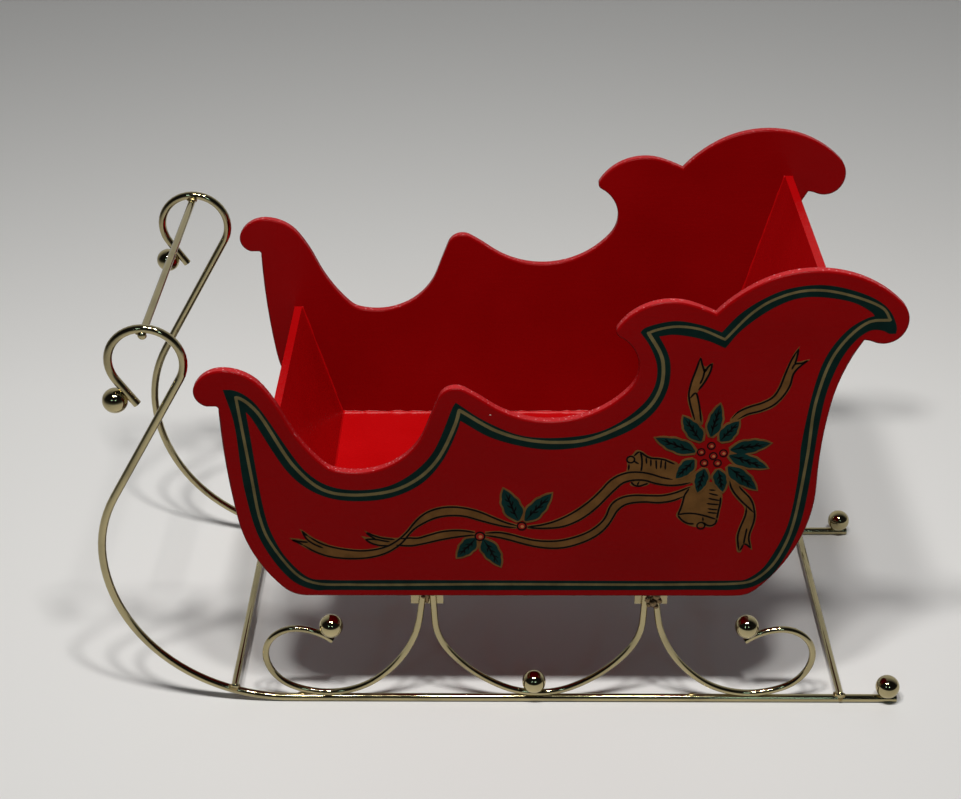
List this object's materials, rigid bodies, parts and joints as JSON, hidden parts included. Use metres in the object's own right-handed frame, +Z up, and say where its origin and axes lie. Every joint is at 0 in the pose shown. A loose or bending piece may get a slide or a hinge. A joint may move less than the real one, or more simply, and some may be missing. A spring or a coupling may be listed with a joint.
{
  "type": "decorative wooden sleigh",
  "caption": "Tabletop Christmas sleigh: red painted wooden tub with scrolled sides on a brass-plated wire runner stand with curls, scrolls and ball ends.",
  "frame": {"origin": "on the table under the middle of the sleigh", "axes": "+X towards the rear, the front with its curls towards -X; +Y towards the sleigh's right side; +Z up"},
  "size_m": [0.4973, 0.212, 0.3098],
  "materials": {
    "red_paint": "glossy red paint over wood",
    "brass_wire": "bright brass plating on bent wire and strip",
    "brass_ball": "bright brass plating on solid balls"
  },
  "bodies": {
    "root": {"side_panel_left": "red_paint", "side_panel_right": "red_paint", "floor_board": "red_paint", "front_board": "red_paint", "back_board": "red_paint", "runner_left": "brass_wire", "runner_right": "brass_wire", "front_scroll_left": "brass_wire", "front_scroll_right": "brass_wire", "rear_scroll_left": "brass_wire", "rear_scroll_right": "brass_wire", "centre_scroll_left": "brass_wire", "centre_scroll_right": "brass_wire", "front_cross_bar": "brass_wire", "rear_cross_bar": "brass_wire", "top_cross_bar": "brass_wire", "front_strap": "brass_wire", "rear_strap": "brass_wire", "curl_ball_left": "brass_ball", "curl_ball_right": "brass_ball", "front_scroll_ball_left": "brass_ball", "front_scroll_ball_right": "brass_ball", "centre_ball_left": "brass_ball", "centre_ball_right": "brass_ball", "rear_scroll_ball_left": "brass_ball", "rear_scroll_ball_right": "brass_ball", "runner_end_ball_left": "brass_ball", "runner_end_ball_right": "brass_ball"}
  },
  "joints": []
}
